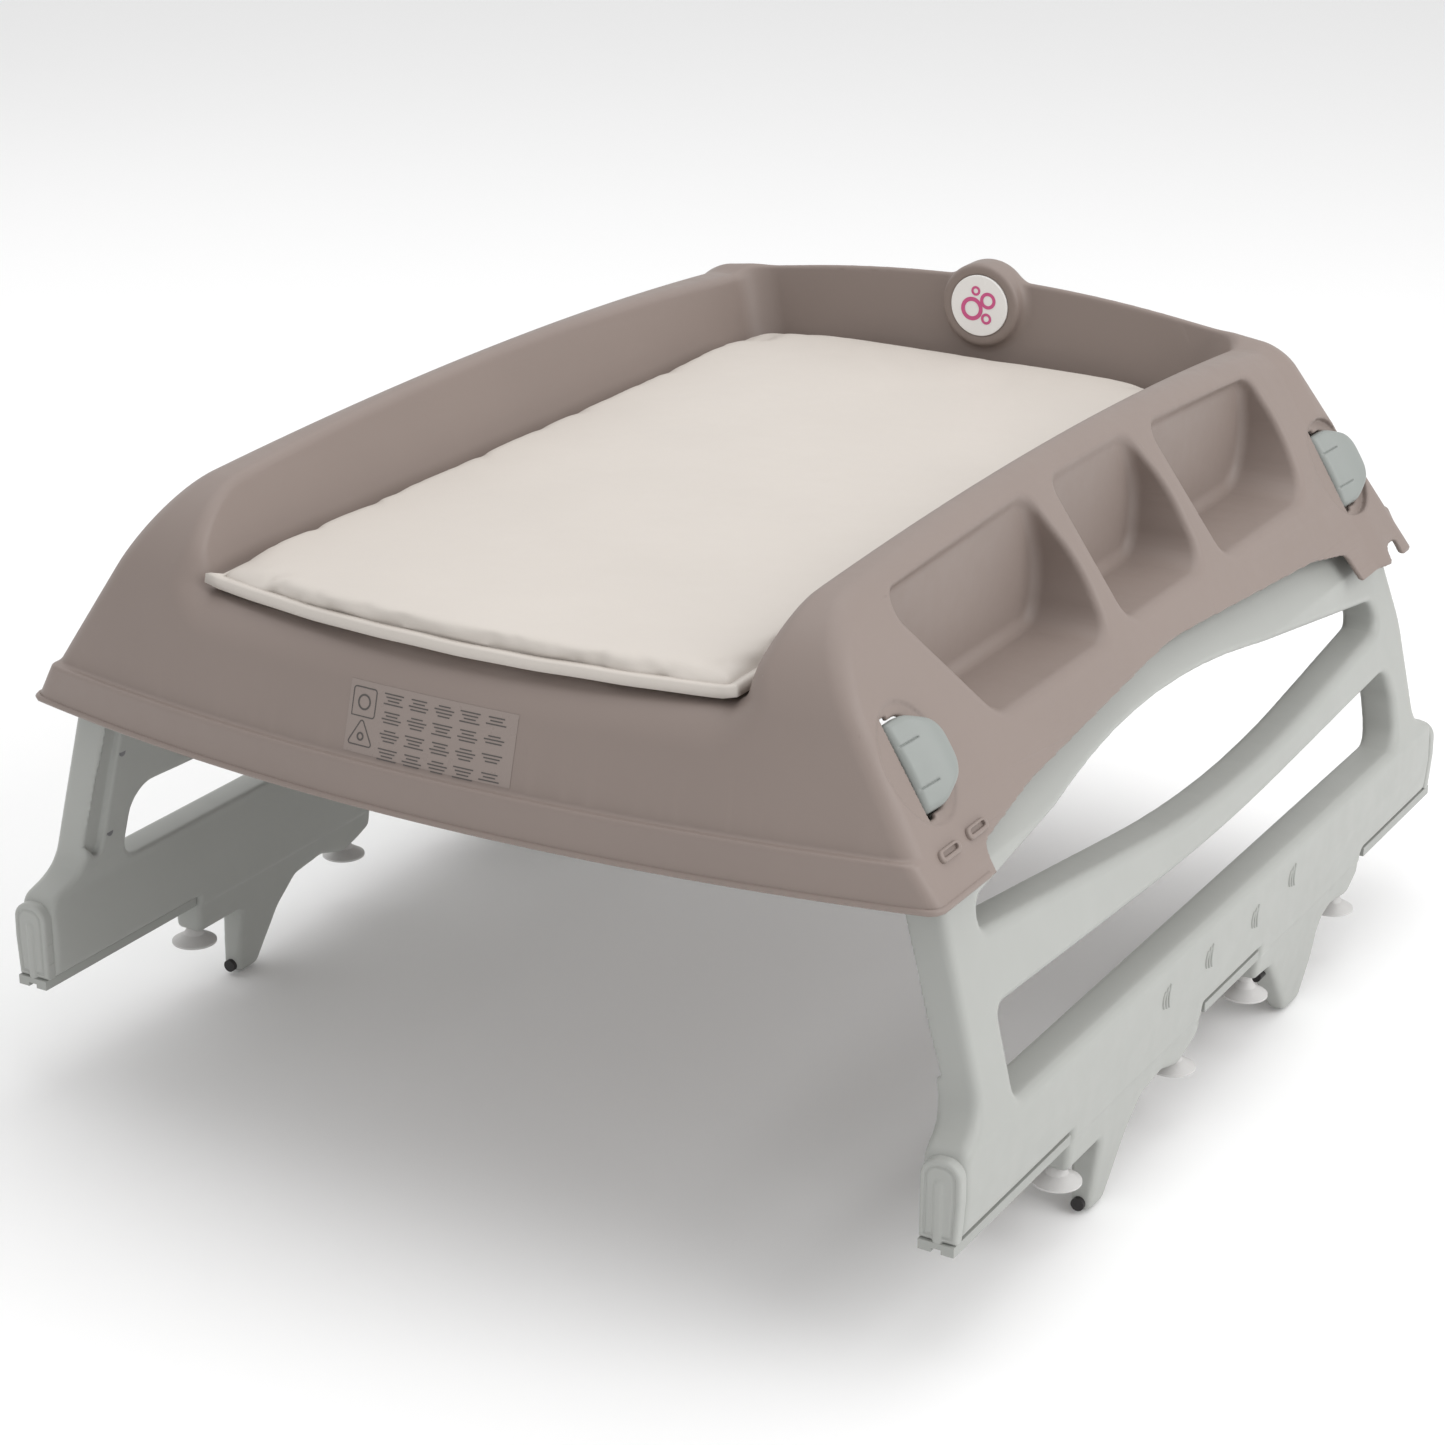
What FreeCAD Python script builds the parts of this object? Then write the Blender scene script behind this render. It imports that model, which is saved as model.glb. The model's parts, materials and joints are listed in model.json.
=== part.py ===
"""Changing table that stands over a bath: a moulded tray with a padded mat and two folding ladder legs.

Millimetres. X runs across the tray, Y from the open front (-) to the back wall (+), Z up.
Z = 0 is the plane of the four claw tips, and X = Y = 0 is the middle of the overall box.
"""
import FreeCAD, Part
import math
import os

V = FreeCAD.Vector
AXIS_X = V(1, 0, 0)
AXIS_Y = V(0, 1, 0)
AXIS_Z = V(0, 0, 1)
FAR = 2000.0              # longer than anything on the object

# Tray
WALL = 3.0                # moulded wall
SKIRT_Z = 301.0           # lower edge of the skirt
SKIRT_HALF = 353.0        # half width at the lower edge
SIDE_LEAN = 31.9          # degrees the outer sides lean inwards from the vertical
RIM_Z = 477.0             # highest point of the side rims
RIM_MID_Y = -16.0
RIM_ARC = 3812.0          # radius of the long arc of the side rims
BACK_Z = 486.0            # highest point of the back wall's arc
BACK_ARC = 1180.0
FLOOR_Z = 402.0           # surface that the mat lies on
TROUGH_HALF = 205.0       # half width of that surface
TROUGH_BACK = 354.0       # where it meets the back wall
TROUGH_DRAFT = 0.276      # widening of the trough per mm of height
TROUGH_CORNER = 30.0      # plan radius of its rear corners
FRONT_Y = -447.0          # middle of the bowed front skirt
FRONT_BOW = 1514.0        # plan radius of the front
BACK_Y = 431.0            # middle of the bowed rear skirt
BACK_BOW = 2985.0
BAND_TOP = 331.0          # top of the stepped-out skirt band
BAND_STEP = 8.0
BEAD = 2.0                # bead along the lower edge of the front skirt
APRON_LEAN = 0.281        # the front face leans back this much per mm of height
REAR_LEAN = 0.35
LIP_RADIUS = 26.0         # round lip between the floor and the front face
LIP_STEPS = 8             # flats that make up its curve
LIP_CLEAR = 0.3           # keeps the lip's end off the front face itself
OPEN_TOP = 60.0           # how far cutting bodies stand above the rims

# Arched lower edge of the sides, as an outline (y, z, corner radius) seen from the side
ARCH = [(-330, 280), (-326, 318, 10), (-250, 329, 120), (0, 346, 600), (250, 331, 120),
        (305, 322, 10), (318, 280)]

# Storage pockets, as outlines (y, z, corner radius) seen from the side
POCKETS = {
    "front": [(-306, 456, 12), (-90, 465, 20), (-64, 410, 60), (-72, 367, 20), (-240, 367, 30)],
    "middle": [(-51, 466, 12), (72, 466, 20), (98, 420, 60), (94, 369, 22), (-39, 369, 16)],
    "back": [(110, 463, 12), (290, 453, 18), (303, 410, 60), (288, 367, 34), (128, 367, 16)],
}

POCKET_WALL_X = 248.0     # upright inner wall of the pockets

# Notch in the lower edge of each side, near the rear end, as (y, z, corner radius)
NOTCH = [(362, 290), (367, 313, 7), (388, 313, 4), (390, 290)]

# Badge boss on the back wall
BOSS_Z = 462.0
BOSS_RADIUS = 34.0
BOSS_FRONT = 349.0
BADGE_RADIUS = 25.0
BOSS_DEPTH = 26.0
BADGE_THICK = 2.0
BADGE_ROUND = 0.8
LABEL_X = (-62.0, 66.0)   # label on the front face
LABEL_Z = (334.0, 380.0)
LABEL_THICK = 0.4

# Mat
MAT_HALF = 200.0
MAT_FRONT = -389.0        # front corners
MAT_BOW = 24.0            # how far the front edge bows out between them
MAT_BACK = 346.0
MAT_THICK = 20.0
MAT_SKIN = 1.0
MAT_CORNER = 24.0         # plan radius of the two back corners
MAT_EDGE = 6.0            # rounding of the top edges

# Hinges and latch buttons, the same on all four corners
HINGE_X = 276.0
HINGE_Z = 357.0
PIN_RADIUS = 4.0
PIN_GAP = 0.05            # running clearance of the leg's bore
EYE_RADIUS = 11.0
EYES = {"front": (-375.0, -345.0), "rear": (352.0, 382.0)}
CHEEK = 4.0               # bracket cheek thickness
CHEEK_GAP = 1.0
BRACKET = [(160, 399), (160, 392), (222, 378), (254, 367), (262, 360), (262, 350), (268, 343), (283, 343),
           (288, 350), (284, 375), (205, 399)]
FLANGE_THICK = 3.0        # bracket flange against the tray floor
FLANGE_X = (160.0, 205.0)
BRACKET_SCREWS_X = (172.0, 190.0)
LATCH_Z = 373.5           # middle of the button's straight edge
LATCH_CHORD = 61.0        # length of that edge
LATCH_BULGE = 40.0        # how far the round side stands from it
LATCH_PROUD = 11.0
LATCH_ROUND = 5.0
LATCH_FLANGE = 2.5        # rim behind the wall that keeps the button in
LATCH_FLANGE_THICK = 2.0
LATCH_BACK = WALL + 1     # depth of that rim's face below the surface
LATCH_CUT = 12.0          # half depth of the cut for the button
LATCH_GAP = 0.7
LATCH_YS = {"front": -364.0, "rear": 344.5}
SPRING_RADIUS = 5.0
SPRING_WIRE = 0.6
SPRING_LENGTH = 8.0
SPRING_TURNS = 3
SPRING_STEPS = 10         # straight lengths per turn of the bent wire

# Legs: side outline is (y, z[, radius]), section is (x, z[, radius]) for the right leg
LEG_WALL = 3.0
BAR_LOW = 88.0
STRIP_LOW = 81.0          # underside of the rail strips
LEG_FRONT = -417.0
LEG_BACK = 447.0
# (the first six corners of both sections are at the same heights)
LEG_OUTER = [(373, 0), (375, 81), (378, 118), (377, 146), (372, 161), (337, 300), (293, 356), (287, 371, 12)]
LEG_INNER = [(350, 0), (347, 81), (346, 118), (347, 146), (342, 161), (307, 300), (263, 350), (265, 371, 12)]
SPLIT = [((a[0] + b[0]) / 2, a[1]) for a, b in zip(LEG_OUTER[:6], LEG_INNER[:6])]
SPLIT += [(HINGE_X, HINGE_Z), (HINGE_X, 400.0)]   # line (x, z) where the two half shells meet
LEG_SPAN = (200.0, 400.0) # stretch of X that holds the right leg
LEG_OUTLINE = [
    (-408, 88), (-408, 146, 14), (-378, 160, 30), (-375.5, 300, 60), (-375.5, 372, 12),
    (-344.5, 372, 12), (-344.5, 338, 3), (351.5, 338, 3), (351.5, 372, 12), (382.5, 372, 12),
    (382.5, 334, 20), (394, 300, 60), (410, 240, 80), (406, 160, 16), (436, 148, 14), (436, 88),
    (292, 88, 4), (291, 70, 8), (272, 58, 10), (236, 63, 14), (214, 58, 20), (206, 30, 30),
    (190, 0, 11), (163, 0, 11), (127, 44, 20), (112, 60, 6), (81, 62, 4), (81, 88),
    (-24, 88), (-26, 66, 6), (-42, 60, 8), (-60, 55, 6), (-90, 64, 14), (-124, 60, 14), (-146, 41, 40),
    (-172, 0, 9), (-197, 0, 8), (-190, 57, 5), (-245, 57, 4), (-245, 88),
]
LEG_WINDOWS = [
    [(-332, 152, 8), (362, 152, 22), (370, 186, 20), (364, 212, 14), (20, 198, 3000), (-331, 212, 8)],
    [(-332, 262, 8), (60, 216, 3000), (364, 246, 14), (360, 268, 14), (-20, 322, 3000), (-332, 281, 12)],
]
LEG_SCREWS = [(-354, 250), (-354, 185), (-150, 112), (20, 112), (200, 112), (388, 185), (388, 250)]
SCREW_RADIUS = 1.8
SCREW_GAP = 0.01
SCREW_DEPTHS = (-15.0, 10.0)   # head face and tip, from the middle of the leg's thickness
HEAD_WELL = 8.0
HEAD_RADIUS = 3.4
HEAD_DEPTH = 2.0
BOSS_WALL = 2.4
STRIPS = {"front": (-417.0, -247.0), "middle": (-22.0, 79.0), "rear": (297.0, 447.0)}
STRIP_X = (350.0, 375.0)
GROOVE_X = (359.0, 366.0) # groove along the underside of every strip
GROOVE_DEPTH = 3.0
CAP_FACES = {"front": 9.0, "rear": 11.0}      # depth of the end caps along the bar
CAP_EDGE = 1.5            # the cap stands back this much from its rib
CAP_SECTION = [(349, 88), (349, 141, 12), (376, 144, 12), (377, 118), (375.5, 88)]
RIB_X = (359.0, 365.0)
RIB_Z = (92.0, 131.0)
RIB_DEPTH = 2.0
TONGUE = (353.0, 370.0, 97.0, 136.0)   # x, x, z, z of the sliding tongue in the bar
TONGUE_LENGTH = 78.0
TONGUE_GAP = 0.4
SOCKET_END = 12.0         # length of the socket past the tongue
FOOT_X = 362.0
FOOT_YS = [-237.0, -46.0, 90.0, 268.0]
FOOT_RADIUS = 17.0
FOOT_Z = 45.0
STEM_RADIUS = 5.0
STEM_LOW = FOOT_Z + 12
STEM_TOP = 100.0
PAD_RADIUS = 4.8
SLEEVE_WALL = 2.0
PADS = [(-199.0, -187.0, 8.0), (112.0, 136.0, 50.0)]
CLAW_X = 361.0


def lean():
    """Horizontal run of the outer sides per mm of height."""
    return math.tan(math.radians(SIDE_LEAN))


def side_x(z):
    """Half width of the tray's outer side at height z."""
    return SKIRT_HALF - (z - SKIRT_Z) * lean()


def place(axis, at, u, v):
    """Point with coordinate `at` along the axis and (u, v) along the other two, in X, Y, Z order."""
    if axis == AXIS_X:
        return V(at, u, v)
    if axis == AXIS_Y:
        return V(u, at, v)
    return V(u, v, at)


def outline(corners, axis, at):
    """Closed wire through (u, v[, radius]) corners, each rounded to its radius."""
    points = [V(c[0], c[1], 0) for c in corners]
    radii = [c[2] if len(c) > 2 else 0.0 for c in corners]
    edges = []
    first = last = None
    count = len(points)
    for i, corner in enumerate(points):
        before = points[i - 1] - corner
        after = points[(i + 1) % count] - corner
        half = before.getAngle(after) / 2
        if radii[i] > 0:
            run = min(radii[i] / math.tan(half), 0.49 * before.Length, 0.49 * after.Length)
            radius = run * math.tan(half)
            a = corner + before.normalize() * run
            b = corner + after.normalize() * run
            bisector = (before + after).normalize()
            mid = corner + bisector * (radius / math.sin(half) - radius)
        else:
            a = b = corner
            mid = None
        a3, b3 = place(axis, at, a.x, a.y), place(axis, at, b.x, b.y)
        if last is None:
            first = a3
        elif (a3 - last).Length > 1e-6:
            edges.append(Part.LineSegment(last, a3).toShape())
        if mid is not None:
            edges.append(Part.Arc(a3, place(axis, at, mid.x, mid.y), b3).toShape())
        last = b3
    if (first - last).Length > 1e-6:
        edges.append(Part.LineSegment(last, first).toShape())
    return Part.Wire(edges)


def prism(corners, axis, start, end):
    """Solid with the rounded outline, from start to end along the axis."""
    face = Part.Face(outline(corners, axis, start))
    return face.extrude(axis * (end - start))


def block(low, high):
    """Box between two corners."""
    return Part.makeBox(high[0] - low[0], high[1] - low[1], high[2] - low[2], V(*low))


def rod(radius, start, end):
    """Cylinder between two points."""
    run = V(*end) - V(*start)
    return Part.makeCylinder(radius, run.Length, V(*start), run)


def fuse(shapes):
    """Union of a list of solids."""
    return shapes[0].multiFuse(shapes[1:]).removeSplitter() if len(shapes) > 1 else shapes[0]


def mirror(shape):
    """The same piece on the other side of the object."""
    return shape.mirror(V(0, 0, 0), AXIS_X)


def rounded(shape, radius, pick):
    """Fillet the edges that pick(edge) chooses."""
    edges = [e for e in shape.Edges if pick(e)]
    return shape.makeFillet(radius, edges)


def bowed(profile, centre_y):
    """Turned body from an (r, z) profile about the upright axis at centre_y."""
    wire = Part.makePolygon([V(r, 0, z) for r, z in profile + profile[:1]])
    solid = Part.Face(wire).revolve(V(0, 0, 0), AXIS_Z, 360)
    solid.translate(V(0, centre_y, 0))
    return solid


def front_radius(z):
    """Plan radius of the front face above the band."""
    return FRONT_BOW - BAND_STEP - (z - BAND_TOP) * APRON_LEAN


def front_body(inset, low):
    """Everything behind the bowed front face."""
    edge = FRONT_BOW - inset
    top = RIM_Z + OPEN_TOP
    step = BAND_TOP + BEAD - inset
    profile = [
        (0, low),
        (edge, low),
        (edge, SKIRT_Z + 2 * BEAD),
        (edge - BEAD, SKIRT_Z + 3 * BEAD),
        (edge - BEAD, BAND_TOP - inset),
        (front_radius(step) - inset, step),
        (front_radius(top) - inset, top),
        (0, top),
    ]
    return bowed(profile, FRONT_Y + FRONT_BOW)


def rear_body(inset, low):
    """Everything in front of the bowed rear face."""
    edge = BACK_BOW - inset
    top = RIM_Z + OPEN_TOP
    profile = [
        (0, low),
        (edge, low),
        (edge, BAND_TOP - inset),
        (edge - BAND_STEP, BAND_TOP + BEAD - inset),
        (edge - BAND_STEP - (top - BAND_TOP) * REAR_LEAN, top),
        (0, top),
    ]
    return bowed(profile, BACK_Y - BACK_BOW)


def hull(inset, low):
    """Closed outer form of the tray, `inset` mm inside its surface and reaching down to `low`."""
    shift = inset / math.cos(math.radians(SIDE_LEAN))
    top = RIM_Z + OPEN_TOP
    half_low, half_top = side_x(low) - shift, side_x(top) - shift
    section = prism([(-half_low, low), (half_low, low), (half_top, top), (-half_top, top)],
                    AXIS_Y, -FAR / 2, FAR / 2)
    side_arc = Part.makeCylinder(RIM_ARC - inset, FAR, V(-FAR / 2, RIM_MID_Y, RIM_Z - RIM_ARC), AXIS_X)
    back_arc = Part.makeCylinder(BACK_ARC - inset, FAR, V(0, -FAR / 2, BACK_Z - BACK_ARC), AXIS_Y)
    body = section.common(front_body(inset, low)).common(rear_body(inset, low))
    rear = block((-FAR / 4, TROUGH_BACK - WALL + inset, low), (FAR / 4, FAR / 4, top))
    boss = rod(BOSS_RADIUS - inset, (0, BOSS_FRONT + inset, BOSS_Z),
               (0, BOSS_FRONT + BOSS_DEPTH - inset, BOSS_Z))
    parts = [body.common(side_arc), body.common(rear).common(back_arc), boss]
    return parts[0].fuse(parts[1:])


def trough(grow):
    """Space above the tray floor, with the rounded lip at its open front."""
    low, high = FLOOR_Z - grow, RIM_Z + OPEN_TOP
    rise = high - low
    half, back = TROUGH_HALF + grow, TROUGH_BACK + grow
    spread = rise * TROUGH_DRAFT
    sides = [(-half, low), (half, low), (half + spread, high), (-half - spread, high)]
    profile = [(-FAR / 3, low), (back, low), (back + spread / 2, high), (-FAR / 3, high)]
    space = prism(sides, AXIS_Y, -FAR / 2, FAR / 2).common(prism(profile, AXIS_X, -FAR / 4, FAR / 4))
    space = rounded(space, TROUGH_CORNER, is_back_corner)
    turn = math.pi / 2 - math.atan(APRON_LEAN)
    lip_edge = front_radius(FLOOR_Z) - grow + LIP_CLEAR
    centre_r = lip_edge - LIP_RADIUS * math.tan(turn / 2)
    centre_z = low - LIP_RADIUS
    angles = [turn * i / LIP_STEPS for i in range(LIP_STEPS + 1)]
    arc = [(centre_r + LIP_RADIUS * math.sin(a), centre_z + LIP_RADIUS * math.cos(a)) for a in angles]
    reach, drop = lip_edge + FAR / 10, arc[-1][1]
    lip = bowed(arc + [(reach, drop), (reach, high), (0, high), (0, low)], FRONT_Y + FRONT_BOW)
    below = block((-half, -FAR / 3, drop - 1), (half, 0, low))
    boss = rod(BOSS_RADIUS - grow, (0, BOSS_FRONT + grow, BOSS_Z), (0, FAR / 4, BOSS_Z))
    return space.fuse(below).common(lip).cut(boss)


def pockets(grow):
    """The three storage pockets of each side, `grow` mm larger all round."""
    band = block((POCKET_WALL_X - grow, -FAR / 4, 0), (FAR / 4, FAR / 4, FAR / 4))
    cutters = []
    for corners in POCKETS.values():
        face = Part.Face(outline(corners, AXIS_X, 0))
        if grow:
            face = face.makeOffset2D(grow)
        cutters.append(face.extrude(AXIS_X * FAR / 4).common(band))
    return cutters + [mirror(c) for c in cutters]


def side_cuts():
    """Spaces that shape the lower edge of both sides."""
    return [prism(corners, AXIS_X, -FAR / 4, FAR / 4) for corners in (ARCH, NOTCH)]


def latch_outline(grow):
    """Half-moon of a latch button in the plane of the tray's side, as (y, up-slope, radius)."""
    half = LATCH_CHORD / 2 + grow
    bulge = LATCH_BULGE + grow
    upper = [(-grow, half, 3), (0.45 * bulge, half, 14), (bulge, 0.52 * half, 16)]
    return upper + [(y, -slope, radius) for y, slope, radius in reversed(upper)]


def on_side(shape, y):
    """Carry a piece built about the origin (X out of the surface) to the right side of the tray at y."""
    moved = shape.copy()
    moved.rotate(V(0, 0, 0), AXIS_Y, -SIDE_LEAN)
    moved.translate(V(side_x(LATCH_Z), y, LATCH_Z))
    return moved


def latch_slots():
    """Openings for the four buttons."""
    slot = prism(latch_outline(LATCH_GAP), AXIS_X, -LATCH_CUT, LATCH_CUT)
    right = [on_side(slot, y) for y in LATCH_YS.values()]
    return right + [mirror(s) for s in right]


def make_tray_shell():
    """Moulded tray, hollow underneath."""
    outer = hull(0, SKIRT_Z).cut([trough(0)] + pockets(0))
    core = hull(WALL, SKIRT_Z - 20).cut([trough(WALL)] + pockets(WALL))
    shell = outer.cut([core] + side_cuts() + latch_slots())
    shell = shell.cut(rod(BADGE_RADIUS, (0, 0, BOSS_Z), (0, BOSS_FRONT + BADGE_THICK / 2, BOSS_Z)))
    return max(shell.Solids, key=lambda s: s.Volume)


def is_back_corner(edge):
    """True for an upright edge in the rear half."""
    return edge.BoundBox.YMin > 0 and edge.BoundBox.ZLength > MAT_SKIN / 2


def make_mat():
    """Padded mat: welded cover of two sheets round a foam core."""
    def pad(inset, low, high):
        half, front, back = MAT_HALF - inset, MAT_FRONT + inset, MAT_BACK - inset
        bow = MAT_FRONT - MAT_BOW + inset
        edges = [
            Part.Arc(V(-half, front, low), V(0, bow, low), V(half, front, low)).toShape(),
            Part.LineSegment(V(half, front, low), V(half, back, low)).toShape(),
            Part.LineSegment(V(half, back, low), V(-half, back, low)).toShape(),
            Part.LineSegment(V(-half, back, low), V(-half, front, low)).toShape(),
        ]
        plate = Part.Face(Part.Wire(edges)).extrude(AXIS_Z * (high - low))
        return rounded(plate, MAT_CORNER - inset, is_back_corner)

    top = FLOOR_Z + MAT_THICK
    base = FLOOR_Z + MAT_SKIN
    sheet = pad(0, FLOOR_Z, base)
    outer = rounded(pad(0, base, top), MAT_EDGE, lambda e: e.BoundBox.ZMin > top - MAT_SKIN / 2)
    foam = rounded(pad(MAT_SKIN, base, top - MAT_SKIN), MAT_EDGE - MAT_SKIN,
                   lambda e: e.BoundBox.ZMin > top - 1.5 * MAT_SKIN)
    export(sheet, "mat_base_sheet")
    export(outer.cut(foam), "mat_cover_top")
    export(foam, "mat_foam_core")


def make_badge():
    """Round badge set in the boss of the back wall."""
    back = BOSS_FRONT + BADGE_THICK / 2
    disc = rod(BADGE_RADIUS, (0, back, BOSS_Z), (0, back - BADGE_THICK, BOSS_Z))
    export(rounded(disc, BADGE_ROUND, lambda e: e.BoundBox.YMax < back - BADGE_THICK / 2), "badge_disc")


def make_label():
    """Thin label that follows the bowed front face."""
    window = block((LABEL_X[0], 1.1 * FRONT_Y, LABEL_Z[0]), (LABEL_X[1], 0.8 * FRONT_Y, LABEL_Z[1]))

    def face(stand):
        low, high = LABEL_Z[0] - 5, LABEL_Z[1] + 5
        profile = [(0, low), (front_radius(low) + stand, low), (front_radius(high) + stand, high), (0, high)]
        return bowed(profile, FRONT_Y + FRONT_BOW)

    label = window.common(face(LABEL_THICK)).cut(face(0))
    export(label.Solids[0], "care_label")


def bracket_cheeks(where):
    """Two (start, end) spans along Y of a bracket's cheeks."""
    low, high = EYES[where]
    return [(low - CHEEK_GAP - CHEEK, low - CHEEK_GAP), (high + CHEEK_GAP, high + CHEEK_GAP + CHEEK)]


def bracket_screw(x, y):
    """Screw up through a bracket's flange into the tray floor."""
    under = BRACKET[0][1] - FLANGE_THICK
    return fuse([rod(SCREW_RADIUS, (x, y, under), (x, y, FLOOR_Z - 1)),
                 rod(HEAD_RADIUS, (x, y, under - HEAD_DEPTH), (x, y, under))])


def make_brackets():
    """Hinge brackets under the tray, their pins and screws."""
    pins, screws = [], []
    for where in EYES:
        cheeks = bracket_cheeks(where)
        low, high = cheeks[0][0], cheeks[1][1]
        plates = [prism(BRACKET, AXIS_Y, a, b) for a, b in cheeks]
        top = BRACKET[0][1]
        flange = block((FLANGE_X[0], low, top - FLANGE_THICK), (FLANGE_X[1], high, top))
        pin = rod(PIN_RADIUS, (HINGE_X, low - 1, HINGE_Z), (HINGE_X, high + 1, HINGE_Z))
        spots = [bracket_screw(x, (low + high) / 2) for x in BRACKET_SCREWS_X]
        bracket = fuse(plates + [flange]).cut([pin] + spots)
        export(bracket, "right_" + where + "_bracket")
        export(mirror(bracket), "left_" + where + "_bracket")
        pins += [pin, mirror(pin)]
        screws += spots + [mirror(s) for s in spots]
    export(Part.makeCompound(pins), "hinge_pins")
    export(Part.makeCompound(screws), "bracket_screws")
    return screws


def make_latches():
    """Half-moon release buttons with their return springs."""
    deep = LATCH_BACK + LATCH_FLANGE_THICK
    plate = prism(latch_outline(0), AXIS_X, -LATCH_BACK, LATCH_PROUD)
    button = rounded(plate, LATCH_ROUND, lambda e: e.BoundBox.XMin > LATCH_PROUD - 1)
    flange = prism(latch_outline(LATCH_FLANGE), AXIS_X, -deep, -LATCH_BACK)
    button = button.fuse(flange).removeSplitter()
    middle = LATCH_BULGE / 2
    start = -deep - SPRING_LENGTH + 2 * SPRING_WIRE
    rise = (SPRING_LENGTH - 4 * SPRING_WIRE) / (SPRING_TURNS * SPRING_STEPS)
    path = []
    for i in range(SPRING_TURNS * SPRING_STEPS + 1):
        turn = 2 * math.pi * i / SPRING_STEPS
        path.append(V(start + rise * i, middle + SPRING_RADIUS * math.cos(turn),
                      SPRING_RADIUS * math.sin(turn)))
    ring = Part.Wire(Part.makeCircle(SPRING_WIRE, path[0], path[1] - path[0]))
    coil = Part.makePolygon(path).makePipeShell([ring], True, False, 1)
    for where, y in LATCH_YS.items():
        for shape, name in ((button, "latch_button"), (coil, "latch_spring")):
            right = on_side(shape, y)
            export(right, "right_" + where + "_" + name)
            export(mirror(right), "left_" + where + "_" + name)


def leg_section(inset):
    """Section of the right leg across the tray, as a solid running its whole length."""
    outer = [(c[0] - inset,) + tuple(c[1:]) for c in LEG_OUTER]
    inner = [(c[0] + inset,) + tuple(c[1:]) for c in reversed(LEG_INNER)]
    return prism(outer + inner, AXIS_Y, -FAR / 4, FAR / 4)


def leg_solid(inset):
    """Right leg as a full solid, `inset` mm inside its surface."""
    shapes = []
    for corners, grow in [(LEG_OUTLINE, -inset)] + [(w, inset) for w in LEG_WINDOWS]:
        face = Part.Face(outline(corners, AXIS_X, LEG_SPAN[0]))
        if grow:
            face = face.makeOffset2D(grow)
        shapes.append(face.extrude(AXIS_X * (LEG_SPAN[1] - LEG_SPAN[0])))
    return shapes[0].cut(shapes[1:]).common(leg_section(inset))


def middle_x(z):
    """Mid surface of the right leg at height z."""
    for (x0, z0), (x1, z1) in zip(SPLIT, SPLIT[1:]):
        if z0 <= z <= z1:
            return x0 + (x1 - x0) * (z - z0) / (z1 - z0)
    return SPLIT[-1][0]


def leg_screw(y, z, grow=0.0):
    """Screw through the inner shell into the outer one."""
    head, tip = [middle_x(z) + depth for depth in SCREW_DEPTHS]
    well = HEAD_WELL if grow else 0.0
    return fuse([rod(SCREW_RADIUS + grow, (head + HEAD_DEPTH, y, z), (tip, y, z)),
                 rod(HEAD_RADIUS + grow, (head - well, y, z), (head + HEAD_DEPTH, y, z))])


def make_strip(where):
    """Rail strip along the underside of the bar, with its groove."""
    low, high = STRIPS[where]
    strip = block((STRIP_X[0], low, STRIP_LOW), (STRIP_X[1], high, BAR_LOW))
    groove = block((GROOVE_X[0], low, STRIP_LOW), (GROOVE_X[1], high, STRIP_LOW + GROOVE_DEPTH))
    return strip.cut(groove)


def make_extension(where):
    """Sliding end of a bar: end cap with its rib and tongue, and the socket for the tongue."""
    sign, end = (-1, LEG_FRONT) if where == "front" else (1, LEG_BACK)
    face = end - sign * CAP_FACES[where]

    def span(a, b):
        return min(a, b), max(a, b)

    cap = prism(CAP_SECTION, AXIS_Y, *span(face, end - sign * CAP_EDGE))
    y0, y1 = span(end, end - sign * RIB_DEPTH)
    rib = block((RIB_X[0], y0, RIB_Z[0]), (RIB_X[1], y1, RIB_Z[1]))
    y0, y1 = span(face, face - sign * TONGUE_LENGTH)
    x0, x1, z0, z1 = TONGUE
    tongue = block((x0, y0, z0), (x1, y1, z1))
    socket = block((x0 - TONGUE_GAP, y0 - SOCKET_END, z0 - TONGUE_GAP),
                   (x1 + TONGUE_GAP, y1 + SOCKET_END, z1 + TONGUE_GAP))
    return fuse([cap, rib, tongue]), socket


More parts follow.
